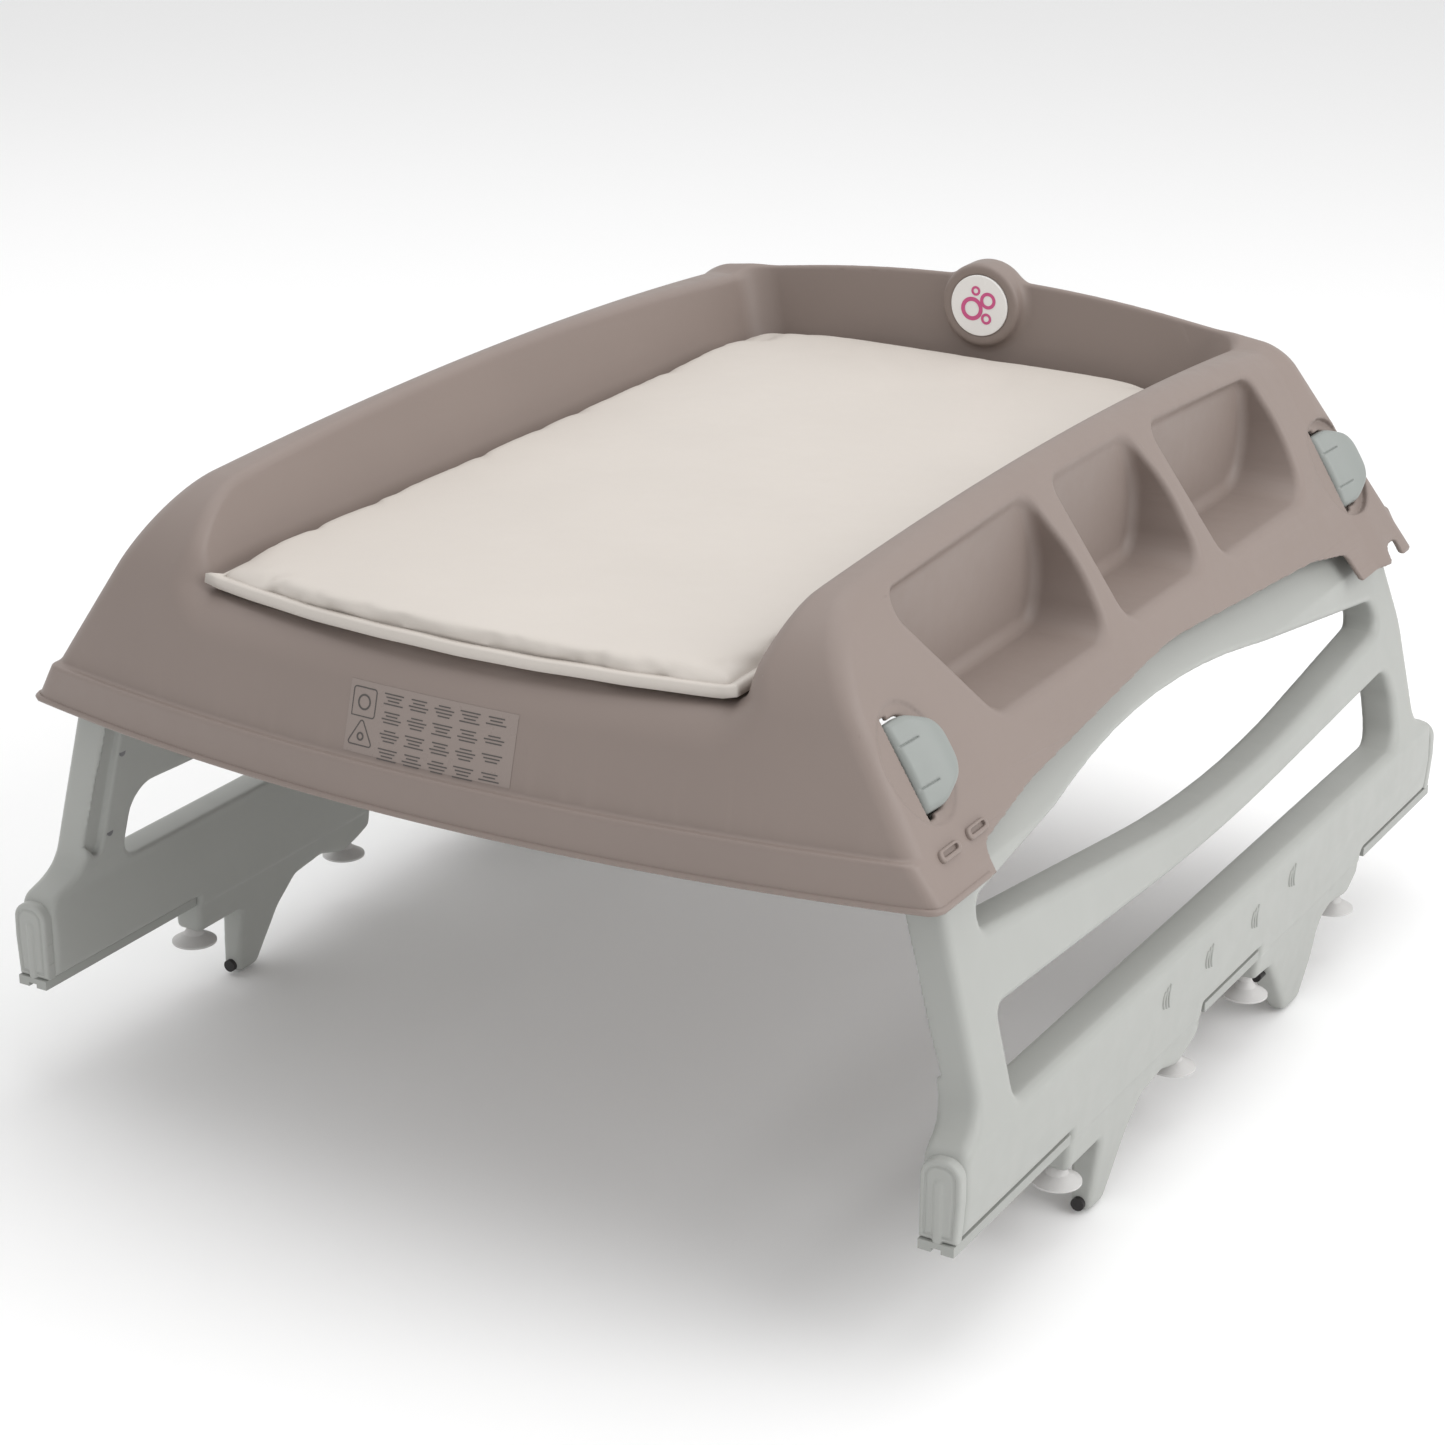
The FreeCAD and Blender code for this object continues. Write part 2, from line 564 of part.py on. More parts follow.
def make_leg():
    """One leg: two moulded half shells, screws, feet, pads, rails and sliding ends."""
    full = leg_solid(0)
    hollow = full.cut(leg_solid(LEG_WALL))
    bosses = [rod(SCREW_RADIUS + BOSS_WALL, (LEG_SPAN[0], y, z), (LEG_SPAN[1], y, z)).common(full)
              for y, z in LEG_SCREWS]
    eyes = [rod(EYE_RADIUS, (HINGE_X, a, HINGE_Z), (HINGE_X, b, HINGE_Z)) for a, b in EYES.values()]
    pads = [rod(PAD_RADIUS, (CLAW_X, a, z), (CLAW_X, b, z)) for a, b, z in PADS]
    sleeves = [rod(PAD_RADIUS + SLEEVE_WALL, (CLAW_X, a, z), (CLAW_X, b + SLEEVE_WALL, z)).common(full)
               for a, b, z in PADS]
    stems = [rod(STEM_RADIUS, (FOOT_X, y, STEM_LOW), (FOOT_X, y, STEM_TOP)) for y in FOOT_YS]
    bores = [rod(PIN_RADIUS + PIN_GAP, (HINGE_X, a - CHEEK, HINGE_Z), (HINGE_X, b + CHEEK, HINGE_Z))
             for a, b in EYES.values()]
    front_end, front_socket = make_extension("front")
    rear_end, rear_socket = make_extension("rear")
    wells = [leg_screw(y, z, SCREW_GAP) for y, z in LEG_SCREWS]
    shell = hollow.fuse(bosses + eyes + sleeves)
    shell = shell.cut(bores + [front_socket, rear_socket] + pads + stems + wells)
    low, high = SPLIT[0], SPLIT[-1]
    outside = [(FAR / 4, high[1]), (FAR / 4, low[1] - LEG_WALL), (low[0], low[1] - LEG_WALL)]
    outer_side = prism(SPLIT + outside, AXIS_Y, -FAR / 4, FAR / 4)
    outer = max(shell.common(outer_side).Solids, key=lambda s: s.Volume)
    inner = max(shell.cut(outer_side).Solids, key=lambda s: s.Volume)
    nodes = {
        "leg_outer_shell": outer,
        "leg_inner_shell": inner,
        "leg_screws": Part.makeCompound([leg_screw(y, z) for y, z in LEG_SCREWS]),
        "leg_feet": Part.makeCompound([make_foot(y) for y in FOOT_YS]),
        "claw_pads": Part.makeCompound(pads),
        "front_end_slide": front_end,
        "rear_end_slide": rear_end,
    }
    for where in STRIPS:
        nodes[where + "_rail"] = make_strip(where)
    for name, shape in nodes.items():
        export(shape, "right_" + name)
        export(mirror(shape), "left_" + name)


def make_foot(y):
    """Soft round foot: a cupped disc on a cone and stem."""
    profile = [(0, FOOT_Z + 3), (FOOT_RADIUS - 3, FOOT_Z), (FOOT_RADIUS, FOOT_Z), (FOOT_RADIUS, FOOT_Z + 1.5),
               (1.6 * STEM_RADIUS, FOOT_Z + 7), (STEM_RADIUS, STEM_LOW), (STEM_RADIUS, STEM_TOP),
               (0, STEM_TOP)]
    wire = Part.makePolygon([V(r, 0, z) for r, z in profile + profile[:1]])
    foot = Part.Face(wire).revolve(V(0, 0, 0), AXIS_Z, 360)
    foot.translate(V(FOOT_X, y, 0))
    return foot


def export(shape, name):
    """Write one node."""
    solids = shape.Solids
    assert solids and all(s.isValid() and s.Volume > 0 for s in solids), name
    piece = solids[0] if len(solids) == 1 else Part.makeCompound(solids)
    piece.exportStep(os.path.join("parts", name + ".step"))
    box = shape.BoundBox
    print(name, len(solids), [round(c) for c in (box.XMin, box.XMax, box.YMin, box.YMax, box.ZMin, box.ZMax)])


os.makedirs("parts", exist_ok=True)
screws = make_brackets()
export(make_tray_shell().cut(screws), "tray_shell")
make_badge()
make_label()
make_mat()
make_latches()
make_leg()
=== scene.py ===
"""Looks of the changing table that stands over a bath.

Lengths below are millimetres in the frame's own axes: X across, Y from the open front (-) to the
back wall (+), Z up from the claw tips. MM turns them into the metres that Blender holds.
The moulded tray and legs are made as rounded distance fields on a grid, which are then meshed, so
that every edge has a soft moulded radius. The mat is inflated by a short cloth simulation.
"""

import json
import math

import bmesh
import bpy
import numpy as np
from mathutils import Matrix, Quaternion, Vector
from mathutils.bvhtree import BVHTree


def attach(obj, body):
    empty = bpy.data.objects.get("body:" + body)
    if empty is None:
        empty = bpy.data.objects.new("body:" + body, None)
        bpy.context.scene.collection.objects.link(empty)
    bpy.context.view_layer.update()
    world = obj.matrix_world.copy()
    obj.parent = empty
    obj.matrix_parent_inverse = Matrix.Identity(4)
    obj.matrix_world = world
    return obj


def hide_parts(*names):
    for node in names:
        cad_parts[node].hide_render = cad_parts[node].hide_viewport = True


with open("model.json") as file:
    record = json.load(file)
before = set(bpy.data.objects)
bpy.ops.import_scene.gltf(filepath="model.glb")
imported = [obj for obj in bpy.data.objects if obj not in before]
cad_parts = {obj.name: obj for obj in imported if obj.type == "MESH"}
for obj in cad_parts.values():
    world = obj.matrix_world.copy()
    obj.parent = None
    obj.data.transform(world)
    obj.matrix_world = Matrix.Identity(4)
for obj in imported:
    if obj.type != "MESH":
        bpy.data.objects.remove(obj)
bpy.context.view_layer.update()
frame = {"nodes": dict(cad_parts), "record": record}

MM = 0.001

# Camera
AZIMUTH = 30.235
ELEVATION = 21.542
ROLL = 0.32
CAMERA_PLACE = (1.1605, -2.0504, 1.1477)
LENS = 83.995
SENSOR = 36.0

# Studio, in metres and watts
WORLD_STRENGTH = 0.78
LAMPS = (
    ("key", (2.9, 0.2, 1.9), 2.4, 46),
    ("fill", (-2.6, 0.4, 2.0), 2.5, 8),
    ("top", (0.2, 0.4, 3.2), 3.0, 34),
)
LAMP_AIM = (0, 0, 0.3)

# Tray
WALL = 3.0
WALL_LOOK = 4.2           # wall as meshed, so that the grid can hold it
SKIRT_Z = 301.0
SKIRT_HALF = 353.0
SIDE_LEAN = math.tan(math.radians(31.9))
RIM_Z = 477.0
RIM_MID_Y = -16.0
RIM_ARC = 3812.0
BACK_Z = 486.0
BACK_ARC = 1180.0
FLOOR_Z = 402.0
TROUGH_HALF = 205.0
TROUGH_BACK = 354.0
TROUGH_DRAFT = 0.276
TROUGH_CORNER = 26.0
FRONT_Y = -447.0
FRONT_BOW = 1514.0
BACK_Y = 431.0
BACK_BOW = 2985.0
BAND_TOP = 331.0
BAND_STEP = 8.0
BEAD = 2.0
APRON_LEAN = 0.281
REAR_LEAN = 0.35
LIP_RADIUS = 26.0
CREST_ROUND = 11.0
RIM_ROUND = 6.0
APRON_ROUND = 55.0        # where the apron turns over into the rims
REAR_ROUND = 12.0
WALL_TOP_ROUND = 8.0
WALL_REAR_ROUND = 9.0
WALL_FILLET = 14.0        # between the back wall and the sides
BAND_CORNER = 7.0
BAND_REAR_CORNER = 5.0
BAND_LEDGE_ROUND = 2.2
BAND_FILLET = 1.6
TROUGH_FOOT = 9.0
POCKET_FOOT = 9.0
POCKET_RIM_ROUND = 6.0
TRAY_STEP = 1.5           # grid steps of the fields
TRAY_FACES = 190000
POCKETS = [
    [(-306, 456, 12), (-90, 465, 20), (-64, 410, 60), (-72, 367, 20), (-240, 367, 30)],
    [(-51, 466, 12), (72, 466, 20), (98, 420, 60), (94, 369, 22), (-39, 369, 16)],
    [(110, 463, 12), (290, 453, 18), (303, 410, 60), (288, 367, 34), (128, 367, 16)],
]
POCKET_WALL_X = 248.0
NOTCH = [(362, 290), (367, 313, 7), (388, 313, 4), (390, 290)]
SIDE_ARCH = [(-330, 280), (-326, 318, 10), (-250, 329, 120), (0, 346, 600), (250, 331, 120),
             (305, 322, 10), (318, 280)]
BOSS_Z = 462.0
BOSS_RADIUS = 34.0
BOSS_FRONT = 349.0
BADGE_RADIUS = 25.0

# Latch buttons
LATCH_Z = 373.5
LATCH_CHORD = 61.0
LATCH_BULGE = 40.0
LATCH_YS = {"front": -364.0, "rear": 344.5}
LATCH_SLITS = (-15.0, 14.0)
RECESS_REACH = (34.0, 40.0)
RECESS_SHIFT = 12.0
RECESS_DEPTH = 1.5
SKIRT_SLOTS = ((-366.0, 326.0), (-328.0, 327.0))   # (y, z)

# Legs
LEG_OUTER = [(373, 0), (375, 81), (378, 118), (377, 146), (372, 161), (337, 300), (293, 356), (287, 371, 12)]
LEG_INNER = [(350, 0), (347, 81), (346, 118), (347, 146), (342, 161), (307, 300), (263, 350), (265, 371, 12)]
LEG_OUTLINE = [
    (-408, 88), (-408, 146, 14), (-378, 160, 30), (-375.5, 300, 60), (-375.5, 372, 12),
    (-344.5, 372, 12), (-344.5, 338, 3), (351.5, 338, 3), (351.5, 372, 12), (382.5, 372, 12),
    (382.5, 334, 20), (394, 300, 60), (410, 240, 80), (406, 160, 16), (436, 148, 14), (436, 88),
    (292, 88, 4), (291, 70, 8), (272, 58, 10), (236, 63, 14), (214, 58, 20), (206, 30, 30),
    (190, 0, 11), (163, 0, 11), (127, 44, 20), (112, 60, 6), (81, 62, 4), (81, 88),
    (-24, 88), (-26, 66, 6), (-42, 60, 8), (-60, 55, 6), (-90, 64, 14), (-124, 60, 14), (-146, 41, 40),
    (-172, 0, 9), (-197, 0, 8), (-190, 57, 5), (-245, 57, 4), (-245, 88),
]
LEG_WINDOWS = [
    [(-332, 152, 8), (362, 152, 22), (370, 186, 20), (364, 212, 14), (20, 198, 3000), (-331, 212, 8)],
    [(-332, 262, 8), (60, 216, 3000), (364, 246, 14), (360, 268, 14), (-20, 322, 3000), (-332, 281, 12)],
]

CHANNEL = [(-371, 340), (-376, 180, 4), (-361, 164, 7), (-359, 340)]   # along the front upright
CHANNEL_DEPTH = 5.0
WEB_CORNER = 20.0
WEB_DEPTH = 14.0
CLAW_TOP = 80.0           # below it the claws taper towards their tips
CLAW_X = 361.5            # middle of the bar's thickness
BAR_FACE = [(375, 81), (378, 118), (377, 146)]     # (x, z) down the outer face of the bar
CAP_SECTION = [(349, 88), (349, 144, 12), (377, 145, 12), (377.5, 118), (375.5, 88)]
CAP_ENDS = (("front", -417.0, 1), ("rear", 447.0, -1))
LEG_STEP = 1.8
LEG_FACES = 120000
MARKS = [(-100, 126), (-25, 126), (60, 123), (132, 128)]   # (y, z) of the rib groups on the bar
MARK_HALVES = (5.5, 7.0, 8.0)
MARK_PITCH = 4.6

# Mat
MAT_HALF = 200.0
MAT_FRONT = -389.0
MAT_BOW = 24.0
MAT_BACK = 346.0
MAT_CORNER = 24.0
MAT_THICK = 20.0
MAT_BODY = 17.5           # before it swells
MAT_SEAM = 9.0            # height of the weld above the floor
MAT_INSET = 3.0           # the pad stands back this much from the weld's edge
# Section of the weld as (outwards, above the floor)
FLANGE = [(-5, 11.2), (-1.6, 11.0), (0.2, 9.8), (0.9, 3.6), (-0.4, 3.2), (-1.4, 8.0), (-5, 8.2)]
EAR_OUT = 5.0             # the weld's front corners stand out and curl up
EAR_RISE = 3.5
CLOTH_FRAMES = 20

# Label and badge
LABEL_X = (-62.0, 66.0)
LABEL_LOW = 334.5
LABEL_HIGH = 379.5
BUBBLES = [(-6, -3, 8.0, 3.4), (8, 5, 5.5, 2.8), (7, -10, 3.5, 2.2), (-3, 12, 3.0, 2.0)]


# ---------------------------------------------------------------- distance fields

def cut_round(a, b, r):
    """Inside both a and b, with the edge between them rounded to radius r."""
    return np.minimum(np.maximum(a, b), -r) + np.hypot(np.maximum(a + r, 0), np.maximum(b + r, 0))


def join_round(a, b, r):
    """Inside a or b, with the corner between them filled to radius r."""
    return -cut_round(-a, -b, r)


def rounded_outline(corners, steps=8):
    """Points of the closed outline through (u, v[, radius]) corners, each rounded to its radius."""
    points = []
    count = len(corners)
    for i, corner in enumerate(corners):
        here = Vector(corner[:2])
        before = Vector(corners[i - 1][:2]) - here
        after = Vector(corners[(i + 1) % count][:2]) - here
        if len(corner) < 3:
            points.append(here)
            continue
        half = before.angle(after) / 2
        run = min(corner[2] / math.tan(half), 0.49 * before.length, 0.49 * after.length)
        a, b = here + before.normalized() * run, here + after.normalized() * run
        centre = here + (before.normalized() + after.normalized()).normalized() * run / math.cos(half)
        start, sweep = a - centre, (a - centre).angle_signed(b - centre)
        for k in range(steps + 1):
            turned = start.copy()
            turned.rotate(Matrix.Rotation(-sweep * k / steps, 2))
            points.append(centre + turned)
    return np.array([tuple(p) for p in points])


def outline_distance(u, v, corners):
    """Signed distance to the rounded outline at every (u, v)."""
    points = rounded_outline(corners)
    u, v = np.broadcast_arrays(u, v)
    nearest = np.full(u.shape, np.inf)
    inside = np.zeros(u.shape, bool)
    for (u0, v0), (u1, v1) in zip(points, np.roll(points, -1, axis=0)):
        du, dv = u1 - u0, v1 - v0
        length = du * du + dv * dv
        if length < 1e-9:
            continue
        t = np.clip(((u - u0) * du + (v - v0) * dv) / length, 0, 1)
        nearest = np.minimum(nearest, (u - u0 - t * du) ** 2 + (v - v0 - t * dv) ** 2)
        crosses = (v0 > v) != (v1 > v)
        if dv:
            inside ^= crosses & (u < u0 + (v - v0) * du / dv)
    return (np.sqrt(nearest) * np.where(inside, -1, 1)).astype(np.float32)


def make_grid(low, high, step):
    """Broadcastable x, y, z coordinates of a regular grid."""
    axes = [np.arange(a, b + step, step, dtype=np.float32) for a, b in zip(low, high)]
    return axes[0][:, None, None], axes[1][None, :, None], axes[2][None, None, :]


def mesh_field(field, low, step):
    """(vertices, quads) of the surface where the field is 0, by surface nets."""
    inside = field < 0
    corners = [(i, j, k) for i in (0, 1) for j in (0, 1) for k in (0, 1)]
    size = [n - 1 for n in field.shape]
    total = np.zeros(size, np.int8)
    for i, j, k in corners:
        total += inside[i:i + size[0], j:j + size[1], k:k + size[2]]
    cells = np.argwhere((total > 0) & (total < 8))
    values = np.stack([field[tuple((cells + c).T)] for c in corners], axis=1)
    place = np.zeros((len(cells), 3))
    weight = np.zeros(len(cells))
    for a, ca in enumerate(corners):
        for b, cb in enumerate(corners):
            if b <= a or sum(abs(p - q) for p, q in zip(ca, cb)) != 1:
                continue
            va, vb = values[:, a], values[:, b]
            crosses = (va < 0) != (vb < 0)
            t = va[crosses] / (va[crosses] - vb[crosses])
            start, run = np.array(ca), np.array(cb) - np.array(ca)
            place[crosses] += start + t[:, None] * run
            weight[crosses] += 1
    vertices = cells + place / weight[:, None]
    number = np.full(size, -1, np.int32)
    number[tuple(cells.T)] = np.arange(len(cells))
    quads = []
    for axis in range(3):
        near = [slice(1, -1)] * 3
        far = [slice(1, -1)] * 3
        near[axis], far[axis] = slice(0, -1), slice(1, None)
        a, b = inside[tuple(near)], inside[tuple(far)]
        u, v = [n for n in range(3) if n != axis]
        for flip, found in ((axis == 1, a & ~b), (axis != 1, ~a & b)):
            edge = np.argwhere(found)
            shift = np.ones(3, int)
            shift[axis] = 0
            base = edge + shift
            ring = []
            for du, dv in ((0, 0), (-1, 0), (-1, -1), (0, -1)):
                cell = base.copy()
                cell[:, u] += du
                cell[:, v] += dv
                ring.append(number[tuple(cell.T)])
            quad = np.stack(ring, axis=1)
            quads.append(quad[:, ::-1] if flip else quad)
    return vertices * step + np.array(low), np.concatenate(quads)


def settle(vertices, field, low, step, rounds=3):
    """Move vertices on to the surface along the field's slope."""
    at = (vertices - np.array(low)) / step
    for _ in range(rounds):
        base = np.clip(np.floor(at).astype(int), 0, np.array(field.shape) - 2)
        f = at - base
        value = np.zeros(len(at))
        slope = np.zeros((len(at), 3))
        for c in [(i, j, k) for i in (0, 1) for j in (0, 1) for k in (0, 1)]:
            corner = field[tuple((base + c).T)]
            w = [np.where(ci, f[:, n], 1 - f[:, n]) for n, ci in enumerate(c)]
            value += corner * w[0] * w[1] * w[2]
            for n in range(3):
                others = np.prod([w[m] for m in range(3) if m != n], axis=0)
                slope[:, n] += corner * others * (1 if c[n] else -1)
        move = -value / np.maximum((slope ** 2).sum(1), 1e-6)
        at += np.clip(move, -0.5, 0.5)[:, None] * slope / max(1.0, step)
    return at * step + np.array(low)


def new_object(name, vertices, faces):
    """Smooth-shaded mesh object from vertices in mm and equal-sided faces."""
    mesh = bpy.data.meshes.new(name)
    sides = len(faces[0])
    mesh.vertices.add(len(vertices))
    mesh.vertices.foreach_set("co", (np.asarray(vertices, np.float32) * MM).ravel())
    mesh.loops.add(len(faces) * sides)
    mesh.loops.foreach_set("vertex_index", np.asarray(faces, np.int32).ravel())
    mesh.polygons.add(len(faces))
    mesh.polygons.foreach_set("loop_start", np.arange(0, len(faces) * sides, sides, dtype=np.int32))
    mesh.update(calc_edges=True)
    mesh.shade_smooth()
    piece = bpy.data.objects.new(name, mesh)
    bpy.context.scene.collection.objects.link(piece)
    return piece


def thin(piece, faces):
    """Fewer, larger triangles where the surface is calm, down to about that many faces."""
    modifier = piece.modifiers.new("thin", "DECIMATE")
    modifier.ratio = min(1.0, faces / (2 * len(piece.data.polygons)))
    graph = bpy.context.evaluated_depsgraph_get()
    mesh = bpy.data.meshes.new_from_object(piece.evaluated_get(graph))
    piece.modifiers.clear()
    old, piece.data = piece.data, mesh
    bpy.data.meshes.remove(old)
    mesh.shade_smooth()


def field_object(name, field, low, step, faces=None, flip=False):
    """Object from a field; flip mirrors it to the left side."""
    vertices, quads = mesh_field(field, low, step)
    vertices = settle(vertices, field, low, step)
    if flip:
        vertices = vertices * (-1, 1, 1)
        quads = quads[:, ::-1]
    piece = new_object(name, vertices, quads)
    if faces:
        thin(piece, faces)
    return piece


# ---------------------------------------------------------------- tray

def side_x(z):
    """Half width of the tray's sloping side at height z."""
    return SKIRT_HALF - (z - SKIRT_Z) * SIDE_LEAN


SIDE_OUT = (1 / math.hypot(1, SIDE_LEAN), SIDE_LEAN / math.hypot(1, SIDE_LEAN))   # x, z of the side's normal


def ramp(value, start, end):
    """0 at start, 1 at end, smooth between."""
    t = np.clip((value - start) / (end - start), 0, 1)
    return t * t * (3 - 2 * t)


def leaning(distance, lean):
    """Distance measured across a leaning face."""
    return distance / math.hypot(1, lean)


def tray_outside(x, y, z):
    """Outer form of the tray with its rims, band and badge boss."""
    side = (x - side_x(z)) * SIDE_OUT[0]
    from_front = np.hypot(x, y - (FRONT_Y + FRONT_BOW)) - FRONT_BOW
    from_rear = np.hypot(x, y - (BACK_Y - BACK_BOW)) - BACK_BOW
    front = leaning(from_front + BAND_STEP + (z - BAND_TOP) * APRON_LEAN, APRON_LEAN)
    rear = leaning(from_rear + BAND_STEP + (z - BAND_TOP) * REAR_LEAN, REAR_LEAN)
    rim = np.hypot(y - RIM_MID_Y, z - (RIM_Z - RIM_ARC)) - RIM_ARC
    back = np.hypot(x, z - (BACK_Z - BACK_ARC)) - BACK_ARC
    sides = cut_round(cut_round(front, rim, APRON_ROUND), side, CREST_ROUND)
    sides = cut_round(sides, rear, REAR_ROUND)
    wall = cut_round(cut_round(back, (TROUGH_BACK - WALL) - y, WALL_TOP_ROUND), side, CREST_ROUND)
    wall = cut_round(wall, rear, WALL_REAR_ROUND)
    band = cut_round(cut_round(side, from_front + BEAD, BAND_CORNER), from_rear, BAND_REAR_CORNER)
    band = cut_round(band, z - BAND_TOP, BAND_LEDGE_ROUND)
    return join_round(join_round(sides, wall, WALL_FILLET), band, BAND_FILLET)


def boss_body(x, y, z):
    """Round boss that carries the badge, with its hump above the back wall."""
    boss = cut_round(np.hypot(x, z - BOSS_Z) - BOSS_RADIUS, BOSS_FRONT - y, 4)
    return cut_round(boss, y - (BOSS_FRONT + 27), 6)


def evened(field, step):
    """The field divided by its slope, so that it reads as a distance near the surface."""
    slope = np.zeros_like(field)
    for axis in range(3):
        slope += np.gradient(field, step, axis=axis) ** 2
    return field / np.maximum(np.sqrt(slope), 0.7)


def trough_space(x, y, z):
    """Space above the mat's floor."""
    rise = z - FLOOR_Z
    side = leaning(x - TROUGH_HALF - rise * TROUGH_DRAFT, TROUGH_DRAFT)
    back = leaning(y - TROUGH_BACK - rise * TROUGH_DRAFT / 2, TROUGH_DRAFT / 2)
    return cut_round(cut_round(side, back, TROUGH_CORNER), -rise, TROUGH_FOOT)


def pocket_space(x, y, z):
    """The three pockets of the right side."""
    inwards = POCKET_WALL_X - x
    spaces = [cut_round(outline_distance(y, z, corners), inwards, POCKET_FOOT) for corners in POCKETS]
    return np.minimum(np.minimum(spaces[0], spaces[1]), spaces[2])


def on_slope(x, z):
    """(outwards, up-slope) coordinates on the tray's side about the middle of a latch button."""
    dx, dz = x - side_x(LATCH_Z), z - LATCH_Z
    return dx * SIDE_OUT[0] + dz * SIDE_OUT[1], dz * SIDE_OUT[0] - dx * SIDE_OUT[1]


def latch_outline(grow):
    """Half-moon of a latch button as (y, up-slope, radius) corners."""
    half, bulge = LATCH_CHORD / 2 + grow, LATCH_BULGE + grow
    upper = [(-grow, half, 4), (0.42 * bulge, half, 14), (bulge, 0.54 * half, 18)]
    return upper + [(y, -slope, radius) for y, slope, radius in reversed(upper)]


def make_tray():
    """Moulded shell with its pockets, recesses and button openings."""
    step = TRAY_STEP
    low, high = (0.0, FRONT_Y - 6, SKIRT_Z - 6), (SKIRT_HALF + 6, BACK_Y + 6, BACK_Z + 16)
    x, y, z = make_grid(low, high, step)
    body = tray_outside(x, y, z)
    lip = 1 - ramp(z, FLOOR_Z + 4, FLOOR_Z + 30)
    soft = RIM_ROUND + 8 * (1 - ramp(y, -420, -330)) + (LIP_RADIUS - RIM_ROUND - 8) * lip
    body = cut_round(body, -trough_space(x, y, z), soft)
    body = cut_round(body, -pocket_space(x, y, z), POCKET_RIM_ROUND)
    body = cut_round(body, -rounded_recess(x, y, z), 2)
    body = join_round(body, boss_body(x, y, z), 7)
    body = evened(body, step)
    shell = np.maximum(body, -(body + WALL_LOOK))
    out, up = on_slope(x, z)
    for place in LATCH_YS.values():
        near = (np.abs(y - place).ravel() < LATCH_CHORD)
        columns = np.flatnonzero(near)
        part = slice(columns[0], columns[-1] + 1)
        hole = outline_distance(y[:, part] - place, up, latch_outline(1.2))
        ends = np.maximum(np.abs(up) - LATCH_CHORD / 2 - 4, np.abs(y[:, part] - place - 2.5) - 4)
        hole = np.minimum(hole, ends)
        hole = np.maximum(hole, np.abs(out) - 16)
        shell[:, part] = cut_round(shell[:, part], -hole, 0.8)
    for corners in (SIDE_ARCH, NOTCH):
        shell = cut_round(shell, -outline_distance(y, z, corners), 1)
    shell = cut_round(shell, SKIRT_Z - z, 1)
    badge = np.maximum(np.hypot(x, z - BOSS_Z) - BADGE_RADIUS - 0.5, y - BOSS_FRONT - 1.5)
    shell = cut_round(shell, -badge, 0.8)
    full = np.concatenate([shell[:0:-1], shell])
    start = (-(shell.shape[0] - 1) * step, low[1], low[2])
    tray = field_object("tray", full.astype(np.float32), start, step, faces=TRAY_FACES)
    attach(tray, "tray")
    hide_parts("tray_shell")
    paint(tray, taupe)
    return tray


def rounded_recess(x, y, z):
    """Shallow dish pressed into the side round each latch button."""
    out, up = on_slope(x, z)
    along, across = RECESS_REACH
    mean = (along + across) / 2
    dishes = []
    for place in LATCH_YS.values():
        oval = np.hypot((y - place - RECESS_SHIFT) / along, up / across) * mean - mean
        dishes.append(np.maximum(oval, -RECESS_DEPTH - out))
    return np.minimum(dishes[0], dishes[1])


# ---------------------------------------------------------------- legs

def leg_plate(y, z, corner=0.0):
    """Side view of a leg; the corners of its windows have at least that radius."""
    plate = outline_distance(y, z, LEG_OUTLINE)
    for corners in LEG_WINDOWS:
        soft = [(u, v, max(radius, corner)) for u, v, radius in corners]
        plate = np.maximum(plate, -outline_distance(y, z, soft))
    return plate


def leg_field(x, y, z):
    """Right leg as one rounded body, with webs and a channel on its inner side."""
    section = outline_distance(x, z, LEG_OUTER + LEG_INNER[::-1])
    inner_x = np.interp(z, [p[1] for p in LEG_INNER], [p[0] for p in LEG_INNER])
    webs = cut_round(leg_plate(y, z, WEB_CORNER), np.maximum(section, x - inner_x - WEB_DEPTH), 5)
    leg = np.minimum(cut_round(leg_plate(y, z), section, 6), webs)
    channel = np.maximum(outline_distance(y, z, CHANNEL), x - inner_x - CHANNEL_DEPTH)
    leg = cut_round(leg, -channel, 3)
    taper = np.abs(x - CLAW_X) - (6.5 + 0.1 * z)
    return cut_round(leg, np.where(z < CLAW_TOP, taper, -20), 4)


def make_legs():
    """Frame of each leg."""
    low, high = (254.0, -414.0, -5.0), (384.0, 442.0, 378.0)
    leg = leg_field(*make_grid(low, high, LEG_STEP)).astype(np.float32)
    for hand, flip in (("right", False), ("left", True)):
        piece = field_object(f"{hand}_leg_frame", leg, low, LEG_STEP, faces=LEG_FACES, flip=flip)
        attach(piece, f"{hand}_leg")
        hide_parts(f"{hand}_leg_outer_shell", f"{hand}_leg_inner_shell")
        paint(piece, ivory)


def placed(piece, hand, place):
    """Turn a piece made in slope coordinates (out, along Y, up-slope) on to the tray's side."""
    mesh = piece.data
    at = np.empty(len(mesh.vertices) * 3)
    mesh.vertices.foreach_get("co", at)
    at = at.reshape(-1, 3) / MM
    nx, nz = SIDE_OUT
    x = side_x(place[1]) + at[:, 0] * nx - at[:, 2] * nz
    z = place[1] + at[:, 0] * nz + at[:, 2] * nx
    at = np.stack([x, at[:, 1] + place[0], z], axis=1) * MM
    mesh.vertices.foreach_set("co", at.ravel())
    mesh.update()
    if hand == "left":
        mirror(piece)


def mirror(piece):
    """The same mesh on the left side."""
    mesh = piece.data
    mesh.transform(Matrix.Diagonal((-1, 1, 1, 1)))
    mesh.flip_normals()


